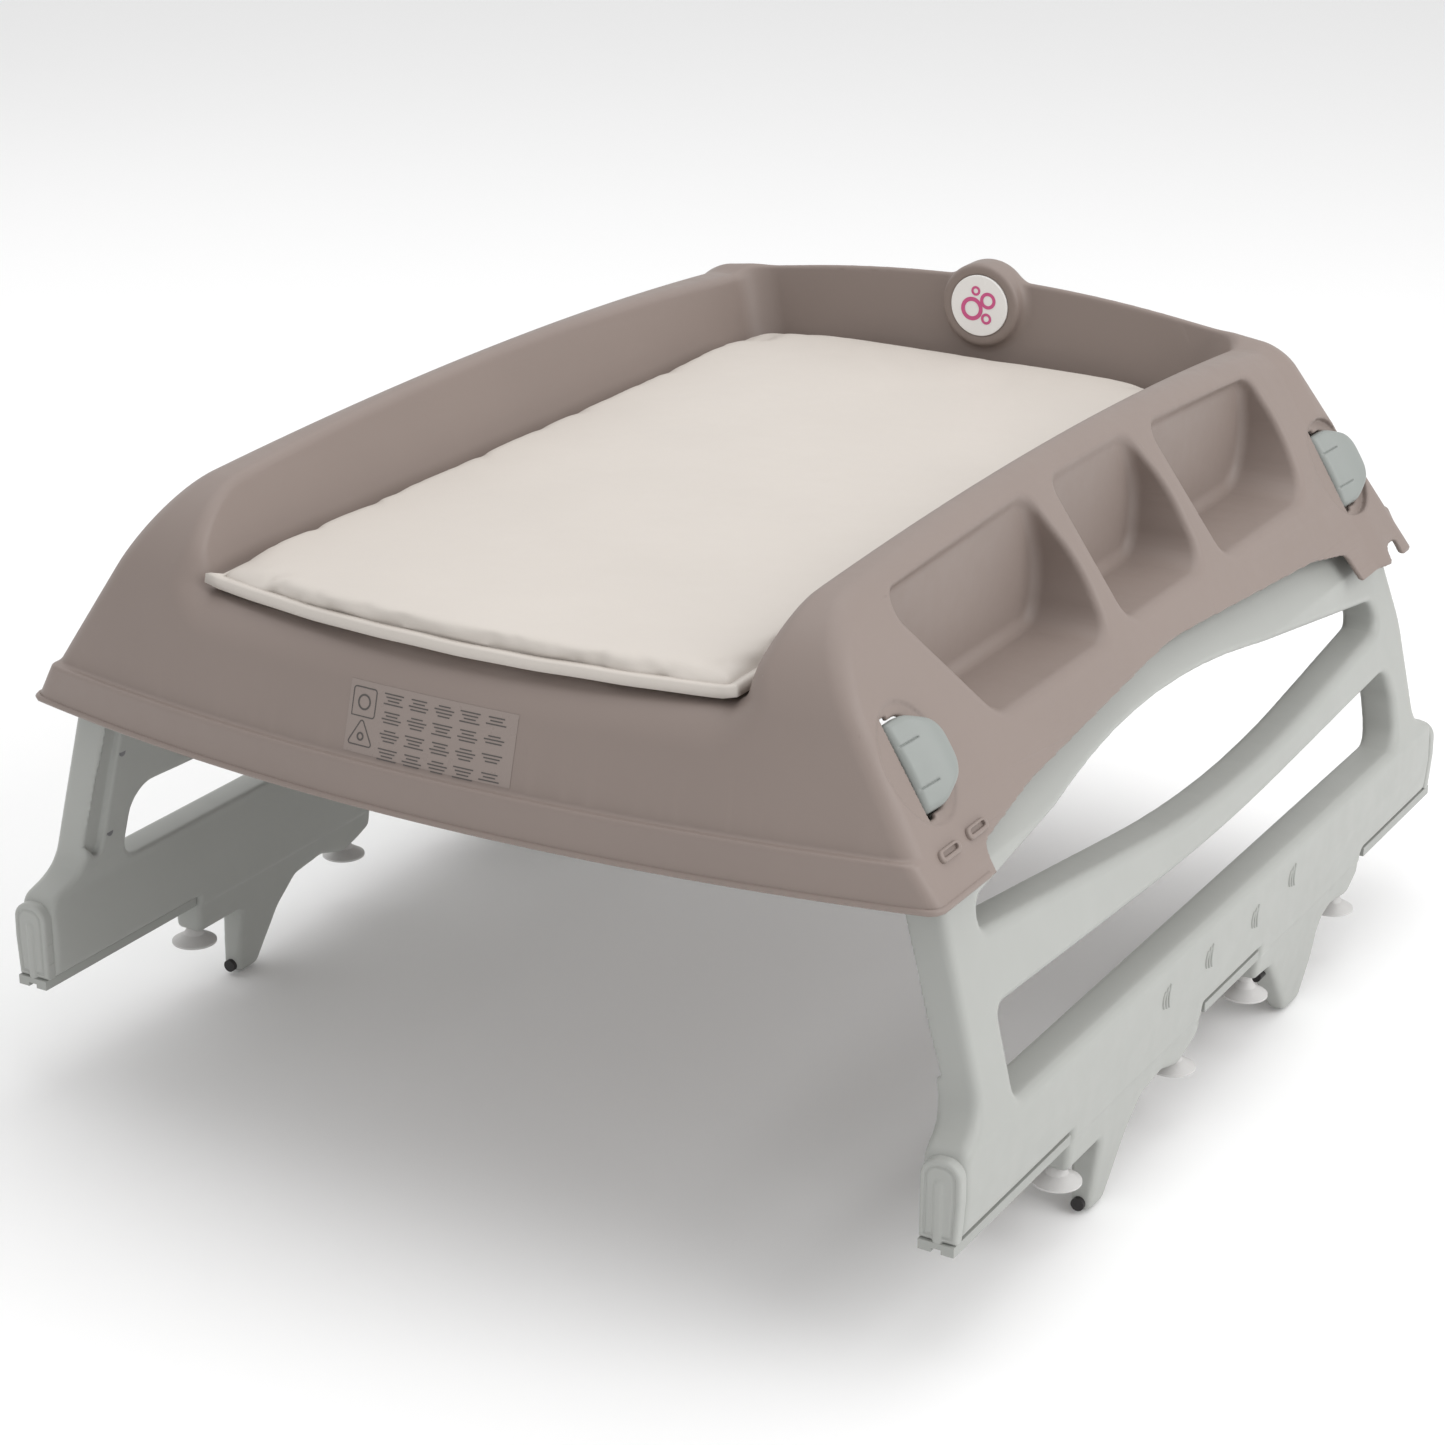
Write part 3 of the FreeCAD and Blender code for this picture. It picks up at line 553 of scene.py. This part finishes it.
def make_latches():
    """Half-moon release buttons: low domes with two fine slits from the straight edge."""
    step = 0.8
    low = (-8.0, -3.0, -34.0)
    out, along, up = make_grid(low, (15.0, 44.0, 34.0), step)
    top = -0.4 + 11.5 * ramp(along, -8, 34) - 3.0 * (up / 34) ** 2
    dome = cut_round(outline_distance(along, up, latch_outline(0)), out - top, 4.2)
    for place in LATCH_SLITS:
        slit = np.maximum(np.maximum(np.abs(up - place) - 0.5, along - 17), top - 1.4 - out)
        dome = np.maximum(dome, -slit)
    dome = np.maximum(dome, -6.0 - out).astype(np.float32)
    for where, place in LATCH_YS.items():
        for hand in ("right", "left"):
            button = field_object(f"{hand}_{where}_button", dome, low, step)
            placed(button, hand, (place, LATCH_Z))
            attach(button, f"{hand}_{where}_latch")
            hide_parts(f"{hand}_{where}_latch_button")
            paint(button, latch_green)


def make_bead():
    """Round bead along the lower edge of the front skirt and round its two corners."""
    radius = FRONT_BOW - 0.8
    centre = FRONT_Y + FRONT_BOW
    height = SKIRT_Z + 2.0
    edge = side_x(height) - 0.6
    reach = math.asin((edge - 6) / radius)
    front = [(radius * math.sin(a), centre - radius * math.cos(a)) for a in np.linspace(-reach, reach, 81)]
    turn = [(edge - 2.2, front[-1][1] + 2.8), (edge, front[-1][1] + 8)]
    sides = turn + [(edge, y) for y in np.linspace(front[-1][1] + 16, -336.0, 6)]
    plan = [(-x, y) for x, y in reversed(sides)] + front + sides
    bead = swept("skirt_bead", [[(x, y, height) for x, y in plan]], 2.3)
    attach(bead, "tray")
    paint(bead, taupe)


def make_skirt_slots():
    """Two short slots with raised rims low on each side of the tray."""
    step = 0.8
    low = (-1.6, -15.0, -7.0)
    out, along, up = make_grid(low, (4.6, 15.0, 7.0), step)
    rim = cut_round(np.hypot(along - np.clip(along, -9, 9), up) - 4.2, out - 3.0, 1.6)
    rim = np.maximum(rim, -1.0 - out)
    slit = np.maximum(np.hypot(along - np.clip(along, -8, 8), up - 0.6) - 1.7, -0.2 - out)
    rim = np.maximum(rim, -slit).astype(np.float32)
    for hand in ("right", "left"):
        for i, place in enumerate(SKIRT_SLOTS):
            slot = field_object(f"{hand}_skirt_slot_{i}", rim, low, step)
            placed(slot, hand, place)
            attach(slot, "tray")
            paint(slot, taupe)


def make_end_slides():
    """End caps with an inset outline, an upright rib and the tongue that runs in the bar."""
    step = 1.0
    for where, end, sign in CAP_ENDS:
        low = (345.0, min(end - 3 * sign, end + 90 * sign), 85.0)
        x, y, z = make_grid(low, (381.0, low[1] + 93, 148.0), step)
        depth = (y - end) * sign
        section = outline_distance(x, z, CAP_SECTION)
        cap = cut_round(section, np.abs(depth - 6.5) - 5.0, 2.5)
        groove = np.maximum(np.abs(section + 4.2) - 0.8, depth - 2.6)
        cap = cut_round(cap, -np.maximum(groove, 90.5 - z), 0.5)
        rib = cut_round(np.hypot(x - 362.5, z - np.clip(z, 88, 128)) - 3.3, -depth + 0.1, 1.8)
        cap = join_round(cap, np.maximum(rib, depth - 4), 0.8)
        tongue = cut_round(np.abs(x - CLAW_X) - 8.5, np.abs(z - 116.5) - 19.5, 1.5)
        tongue = np.maximum(tongue, np.abs(depth - 48) - 38)
        slide = np.minimum(cap, tongue).astype(np.float32)
        for hand, flip in (("right", False), ("left", True)):
            piece = field_object(f"{hand}_{where}_cap", slide, low, step, faces=16000, flip=flip)
            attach(piece, f"{hand}_{where}_slide")
            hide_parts(f"{hand}_{where}_end_slide")
            paint(piece, ivory)


def swept(name, paths, radius):
    """One mesh of round rods along lists of points."""
    curve = bpy.data.curves.new(name, "CURVE")
    curve.dimensions = "3D"
    curve.bevel_depth = radius * MM
    curve.bevel_resolution = 2
    curve.use_fill_caps = True
    for points in paths:
        spline = curve.splines.new("POLY")
        spline.points.add(len(points) - 1)
        for point, at in zip(spline.points, points):
            point.co = (at[0] * MM, at[1] * MM, at[2] * MM, 1)
    holder = bpy.data.objects.new(name, curve)
    mesh = bpy.data.meshes.new_from_object(holder)
    bpy.data.objects.remove(holder)
    mesh.name = name
    mesh.shade_smooth()
    piece = bpy.data.objects.new(name, mesh)
    bpy.context.scene.collection.objects.link(piece)
    return piece


def make_marks():
    """Groups of three short curved ribs on the outer face of each bar."""
    for hand, sign in (("right", 1), ("left", -1)):
        ribs = []
        for y0, z0 in MARKS:
            for k, half in enumerate(MARK_HALVES):
                rib = []
                for t in np.linspace(-1, 1, 9).tolist():
                    y = y0 + MARK_PITCH * (k - 1) + 2.2 * (t * t - 1) + 1.5 * t
                    z = z0 + half * t
                    rib.append((sign * (bar_face(z) + 0.1), y, z))
                ribs.append(rib)
        marks = swept(f"{hand}_leg_marks", ribs, 1.1)
        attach(marks, f"{hand}_leg")
        paint(marks, ivory)


def bar_face(z):
    """x of the bar's outer face at height z."""
    return float(np.interp(z, [p[1] for p in BAR_FACE], [p[0] for p in BAR_FACE]))


# ---------------------------------------------------------------- mat

def mat_plan(x, y, inset):
    """Plan distance to the mat's outline, `inset` mm inside it."""
    radius = (MAT_HALF ** 2 + MAT_BOW ** 2) / (2 * MAT_BOW)
    front = np.hypot(x, y - (MAT_FRONT - MAT_BOW + radius)) - radius
    back = cut_round(np.abs(x) - MAT_HALF, y - MAT_BACK, MAT_CORNER)
    return cut_round(back, front, 6) + inset


def inflate(piece, pressure, cap):
    """Short cloth simulation: the pad swells and ripples, and no point moves more than `cap`."""
    before = np.empty(len(piece.data.vertices) * 3)
    piece.data.vertices.foreach_get("co", before)
    before = before.reshape(-1, 3)
    held = piece.vertex_groups.new(name="held")
    held.add([int(i) for i in np.flatnonzero(before[:, 2] < (FLOOR_Z + 3) * MM)], 1.0, "REPLACE")
    cloth = piece.modifiers.new("cloth", "CLOTH")
    cloth.settings.effector_weights.gravity = 0
    cloth.settings.use_pressure = True
    cloth.settings.uniform_pressure_force = pressure
    cloth.settings.vertex_group_mass = "held"
    cloth.settings.quality = 5
    cloth.settings.shrink_min = -0.03
    cloth.collision_settings.use_collision = False
    cloth.point_cache.frame_start, cloth.point_cache.frame_end = 1, CLOTH_FRAMES
    for step in range(1, CLOTH_FRAMES + 1):
        bpy.context.scene.frame_set(step)
    graph = bpy.context.evaluated_depsgraph_get()
    after = np.empty_like(before).ravel()
    piece.evaluated_get(graph).data.vertices.foreach_get("co", after)
    move = after.reshape(-1, 3) - before
    length = np.maximum(np.linalg.norm(move, axis=1), 1e-9)
    move *= np.minimum(1, cap * MM / length)[:, None]
    piece.modifiers.clear()
    piece.vertex_groups.clear()
    bpy.context.scene.frame_set(1)
    piece.data.vertices.foreach_set("co", (before + move).ravel())
    piece.data.update()


def flange_mesh():
    """(vertices, quads) of the welded edge that runs round the mat."""
    radius = (MAT_HALF ** 2 + MAT_BOW ** 2) / (2 * MAT_BOW)
    centre = MAT_FRONT - MAT_BOW + radius
    side = math.asin(MAT_HALF / radius)
    path = [(radius * math.sin(a), centre - radius * math.cos(a)) for a in np.linspace(-side, side, 61)]
    path += [(MAT_HALF, y) for y in np.linspace(MAT_FRONT, MAT_BACK - MAT_CORNER, 91)[1:-1]]
    turn = np.linspace(0, math.pi / 2, 13)
    inner = MAT_HALF - MAT_CORNER, MAT_BACK - MAT_CORNER
    path += [(inner[0] + MAT_CORNER * math.cos(a), inner[1] + MAT_CORNER * math.sin(a)) for a in turn]
    path += [(x, MAT_BACK) for x in np.linspace(inner[0], -inner[0], 51)[1:-1]]
    path += [(-inner[0] - MAT_CORNER * math.sin(a), inner[1] + MAT_CORNER * math.cos(a)) for a in turn]
    path += [(-MAT_HALF, y) for y in np.linspace(MAT_BACK - MAT_CORNER, MAT_FRONT, 91)[1:-1]]
    path = np.array(path)
    ahead = np.roll(path, -1, axis=0) - path
    ahead /= np.linalg.norm(ahead, axis=1)[:, None]
    normal = np.stack([ahead[:, 1], -ahead[:, 0]], axis=1)
    both = normal + np.roll(normal, 1, axis=0)
    both /= np.linalg.norm(both, axis=1)[:, None]
    stretch = 1 / np.maximum((both * normal).sum(1), 0.6)
    along = np.arange(len(path)) * 0.31
    wave = 0.25 * np.sin(along) + 0.2 * np.sin(2.3 * along + 1)
    rings = []
    for out, rise in FLANGE:
        ear = (stretch > 1.2) * ramp(out, -5, 0)
        at = path + both * (stretch * out + EAR_OUT * ear + 0.6 * wave)[:, None]
        rings.append(np.column_stack([at, FLOOR_Z + rise + wave + EAR_RISE * ear]))
    vertices = np.stack(rings, axis=1).reshape(-1, 3)
    count, sides = len(path), len(FLANGE)
    quads = []
    for i in range(count):
        for k in range(sides):
            a, b = i * sides + k, i * sides + (k + 1) % sides
            c, d = (i + 1) % count * sides + (k + 1) % sides, (i + 1) % count * sides + k
            quads.append((a, b, c, d))
    return vertices, quads


def make_mat():
    """Padded mat: a swollen cover with a welded flange round its edge."""
    step = 4.5
    low = (-MAT_HALF, MAT_FRONT - MAT_BOW - step, FLOOR_Z - 3)
    x, y, z = make_grid(low, (MAT_HALF, MAT_BACK + step, FLOOR_Z + MAT_THICK + 4), step)
    middle = FLOOR_Z + 1.2 + MAT_BODY / 2
    above = z - FLOOR_Z - MAT_SEAM
    inset = MAT_INSET + 0.55 * np.maximum(above, 0) + 0.9 * np.maximum(-above, 0)
    pad = cut_round(mat_plan(x, y, inset), np.abs(z - middle) - MAT_BODY / 2, 4)
    mat = field_object("mat_cover", pad.astype(np.float32), low, step)
    inflate(mat, 4.0, 3.0)
    rounder = mat.modifiers.new("finer", "SUBSURF")
    rounder.levels = rounder.render_levels = 1
    graph = bpy.context.evaluated_depsgraph_get()
    mat.data = bpy.data.meshes.new_from_object(mat.evaluated_get(graph))
    mat.modifiers.clear()
    vertices, quads = flange_mesh()
    flange = new_object("mat_flange", vertices, quads)
    mesh = bmesh.new()
    mesh.from_mesh(mat.data)
    mesh.from_mesh(flange.data)
    mesh.to_mesh(mat.data)
    mesh.free()
    bpy.data.objects.remove(flange)
    mat.data.shade_smooth()
    paint(mat, vinyl)
    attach(mat, "mat")
    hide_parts("mat_cover_top", "mat_base_sheet", "mat_foam_core")


# ---------------------------------------------------------------- badge and label

def decal(name, surface, outlines, material, stand):
    """Flat (x, z) quads laid on a piece of the tray, on the side that faces the open front."""
    tree = BVHTree.FromObject(surface, bpy.context.evaluated_depsgraph_get())
    vertices, quads = [], []
    for quad in outlines:
        start = len(vertices)
        for x, z in quad:
            hit, normal, _, _ = tree.ray_cast(Vector((x * MM, -1, z * MM)), Vector((0, 1, 0)))
            vertices.append(tuple((hit + normal * stand * MM) / MM))
        quads.append(tuple(range(start, start + 4)))
    piece = new_object(name, vertices, quads)
    mesh = bmesh.new()
    mesh.from_mesh(piece.data)
    bmesh.ops.remove_doubles(mesh, verts=mesh.verts, dist=1e-6)
    mesh.to_mesh(piece.data)
    mesh.free()
    piece.data.shade_smooth()
    paint(piece, material)
    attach(piece, "tray")
    return piece


def strip(points, width):
    """Quads of a closed line of that width through (x, z) points."""
    points = [Vector(p) for p in points]
    count = len(points)
    sides = []
    for i in range(count):
        run = (points[(i + 1) % count] - points[i - 1]).normalized()
        sides.append(Vector((-run.y, run.x)) * width / 2)
    quads = []
    for i in range(count):
        j = (i + 1) % count
        quads.append([tuple(points[i] - sides[i]), tuple(points[j] - sides[j]),
                      tuple(points[j] + sides[j]), tuple(points[i] + sides[i])])
    return quads


def ring(x, z, radius, count=32):
    """Points of a circle."""
    return [(x + radius * math.cos(2 * math.pi * i / count), z + radius * math.sin(2 * math.pi * i / count))
            for i in range(count)]


def panel(x0, z0, x1, z1, across, down):
    """Quads that fill a rectangle."""
    xs, zs = np.linspace(x0, x1, across + 1), np.linspace(z0, z1, down + 1)
    return [[(a, c), (b, c), (b, d), (a, d)] for a, b in zip(xs, xs[1:]) for c, d in zip(zs, zs[1:])]


def make_label(tray):
    """Clear film on the front face with plain placeholder shapes and bars."""
    low, high = LABEL_LOW, LABEL_HIGH
    film = decal("label_film", tray, panel(LABEL_X[0], low, LABEL_X[1], high, 32, 14), label_film, 0.25)
    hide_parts("care_label")
    middle = LABEL_X[0] + 12
    left, right = middle - 9, middle + 9
    square = [(left, high - 22), (left, high - 4, 2), (right, high - 4, 2), (right, high - 22, 2)]
    triangle = [(middle - 10, low + 5, 1.5), (middle, low + 22, 1.5), (middle + 10, low + 5, 1.5)]
    ink = strip([tuple(p) for p in rounded_outline(square)], 0.8)
    ink += strip(ring(middle, high - 13, 4.5, 20), 1.2)
    ink += strip([tuple(p) for p in rounded_outline(triangle)], 0.8)
    ink += strip(ring(middle, low + 10.5, 2.2, 16), 1.2)
    for column in range(5):
        left = LABEL_X[0] + 27 + column * 19.5
        for row in range(4):
            for line in range(4 if column < 4 else 3):
                z = high - 4.5 - row * 11.5 - line * 2.1
                shrink = 1.5 * ((line + row + column) % 3)
                ink += panel(left + shrink, z - 0.4, left + 15 - shrink, z + 0.4, 3, 1)
    decal("label_print", tray, ink, print_ink, 0.4)


def make_badge():
    """White disc with a plain motif of bubbles."""
    disc = frame["nodes"]["badge_disc"]
    motif = []
    for x, z, radius, width in BUBBLES:
        motif += strip(ring(x, BOSS_Z + z, radius, 40), width)
    decal("badge_motif", disc, motif, badge_pink, 0.25)


# ---------------------------------------------------------------- materials

def new_material(name):
    """Empty Principled material: (material, nodes, links, shader)."""
    material = bpy.data.materials.new(name)
    material.use_nodes = True
    nodes, links = material.node_tree.nodes, material.node_tree.links
    return material, nodes, links, nodes["Principled BSDF"]


def noise(nodes, links, scale, detail=2.0):
    """Noise in object space, `scale` lumps per metre."""
    where = nodes.new("ShaderNodeTexCoord")
    texture = nodes.new("ShaderNodeTexNoise")
    texture.inputs["Scale"].default_value = scale
    texture.inputs["Detail"].default_value = detail
    links.new(where.outputs["Object"], texture.inputs["Vector"])
    return texture.outputs["Fac"]


def spread(nodes, links, source, low, high):
    """Map a 0.3..0.7 noise to low..high."""
    node = nodes.new("ShaderNodeMapRange")
    node.inputs["From Min"].default_value = 0.3
    node.inputs["From Max"].default_value = 0.7
    node.inputs["To Min"].default_value = low
    node.inputs["To Max"].default_value = high
    links.new(source, node.inputs["Value"])
    return node.outputs["Result"]


def moulded(name, colour, roughness, grain=1400.0, depth=0.00006, shift=0.05):
    """Moulded plastic: faint cloudy colour, fine spark-eroded grain and uneven gloss."""
    material, nodes, links, shader = new_material(name)
    mix = nodes.new("ShaderNodeMix")
    mix.data_type = "RGBA"
    mix.inputs["A"].default_value = [c * (1 - shift) for c in colour] + [1]
    mix.inputs["B"].default_value = [min(1, c * (1 + shift)) for c in colour] + [1]
    links.new(noise(nodes, links, 7.0, 4.0), mix.inputs["Factor"])
    links.new(mix.outputs["Result"], shader.inputs["Base Color"])
    cloud = noise(nodes, links, 60.0, 3.0)
    links.new(spread(nodes, links, cloud, roughness - 0.04, roughness + 0.05), shader.inputs["Roughness"])
    bump = nodes.new("ShaderNodeBump")
    bump.inputs["Distance"].default_value = depth
    bump.inputs["Strength"].default_value = 0.6
    links.new(noise(nodes, links, grain, 3.0), bump.inputs["Height"])
    links.new(bump.outputs["Normal"], shader.inputs["Normal"])
    shader.inputs["Specular IOR Level"].default_value = 0.4
    return material


def paint(piece, material):
    """Give every slot of a piece that material."""
    piece.data.materials.clear()
    piece.data.materials.append(material)


def paint_node(node, material):
    """Give a CAD node that material."""
    piece = frame["nodes"][node]
    for place in piece.material_slots:
        place.material = material


taupe = moulded("taupe_plastic", (0.250, 0.202, 0.180), 0.46)
ivory = moulded("leg_plastic", (0.375, 0.382, 0.362), 0.42)
rail_grey = moulded("rail_plastic", (0.340, 0.347, 0.328), 0.45)
latch_green = moulded("latch_plastic", (0.265, 0.283, 0.270), 0.38)
vinyl = moulded("mat_vinyl", (0.590, 0.545, 0.500), 0.48, grain=900.0, depth=0.00012)
foam = moulded("foam", (0.80, 0.78, 0.70), 0.9, grain=700.0, depth=0.0005)
badge_white = moulded("badge_white", (0.86, 0.85, 0.83), 0.25)
label_film = moulded("label_film", (0.275, 0.228, 0.206), 0.3)
foot_rubber = moulded("foot_rubber", (0.56, 0.55, 0.54), 0.5)
black_rubber = moulded("black_rubber", (0.022, 0.020, 0.020), 0.6)
print_ink = moulded("print_ink", (0.085, 0.075, 0.070), 0.5)
badge_pink = moulded("badge_pink", (0.62, 0.10, 0.26), 0.3)
# Steel is kept darker than bare metal as painted shade: the latch spring seen through the button's end gaps
# then reads as a dark shaded gap.
steel = moulded("steel", (0.26, 0.26, 0.27), 0.35)
steel.node_tree.nodes["Principled BSDF"].inputs["Metallic"].default_value = 1.0

SLOT_LOOKS = {
    "taupe_plastic": taupe, "leg_plastic": ivory, "rail_plastic": rail_grey, "latch_plastic": latch_green,
    "mat_vinyl": vinyl, "foam": foam, "badge_white": badge_white, "label_film": label_film,
    "foot_rubber": foot_rubber, "black_rubber": black_rubber, "steel": steel,
}


def paint_cad():
    """Finish every CAD node by its slot."""
    for part in frame["record"]["subparts"]:
        paint_node(part["node"], SLOT_LOOKS[part["material_slot"]])


def soften_cad():
    """Small rounded edges on the plain strips."""
    for name, piece in frame["nodes"].items():
        if name.endswith("_rail"):
            bevel = piece.modifiers.new("soft", "BEVEL")
            bevel.width = 0.8 * MM
            bevel.segments = 2


# ---------------------------------------------------------------- stage

def make_stage():
    """Pale floor, soft lights and the camera."""
    bpy.ops.mesh.primitive_plane_add(size=40, location=(0, 0, 0))
    floor = bpy.context.object
    floor.name = "floor"
    paint(floor, moulded("floor", (0.95, 0.95, 0.95), 0.9, shift=0.003))
    world = bpy.data.worlds.new("studio")
    bpy.context.scene.world = world
    world.use_nodes = True
    world.node_tree.nodes["Background"].inputs["Color"].default_value = (1, 1, 1, 1)
    world.node_tree.nodes["Background"].inputs["Strength"].default_value = WORLD_STRENGTH
    for name, place, size, power in LAMPS:
        lamp = bpy.data.lights.new(name, "AREA")
        lamp.size = size
        lamp.energy = power
        holder = bpy.data.objects.new(name, lamp)
        holder.location = place
        holder.rotation_mode = "QUATERNION"
        holder.rotation_quaternion = (Vector(LAMP_AIM) - Vector(place)).to_track_quat("-Z", "Y")
        bpy.context.scene.collection.objects.link(holder)
    az, el = math.radians(AZIMUTH), math.radians(ELEVATION)
    back = Vector((math.sin(az) * math.cos(el), -math.cos(az) * math.cos(el), math.sin(el)))
    data = bpy.data.cameras.new("camera")
    data.lens = LENS
    data.sensor_width = SENSOR
    camera = bpy.data.objects.new("camera", data)
    camera.rotation_mode = "QUATERNION"
    camera.location = CAMERA_PLACE
    turn = Quaternion((0, 0, 1), math.radians(ROLL))
    camera.rotation_quaternion = (-back).to_track_quat("-Z", "Y") @ turn
    bpy.context.scene.collection.objects.link(camera)
    bpy.context.scene.camera = camera
    bpy.context.scene.view_settings.view_transform = "Standard"


paint_cad()
soften_cad()
tray = make_tray()
make_legs()
make_latches()
make_bead()
make_skirt_slots()
make_end_slides()
make_marks()
make_mat()
make_label(tray)
make_badge()
make_stage()
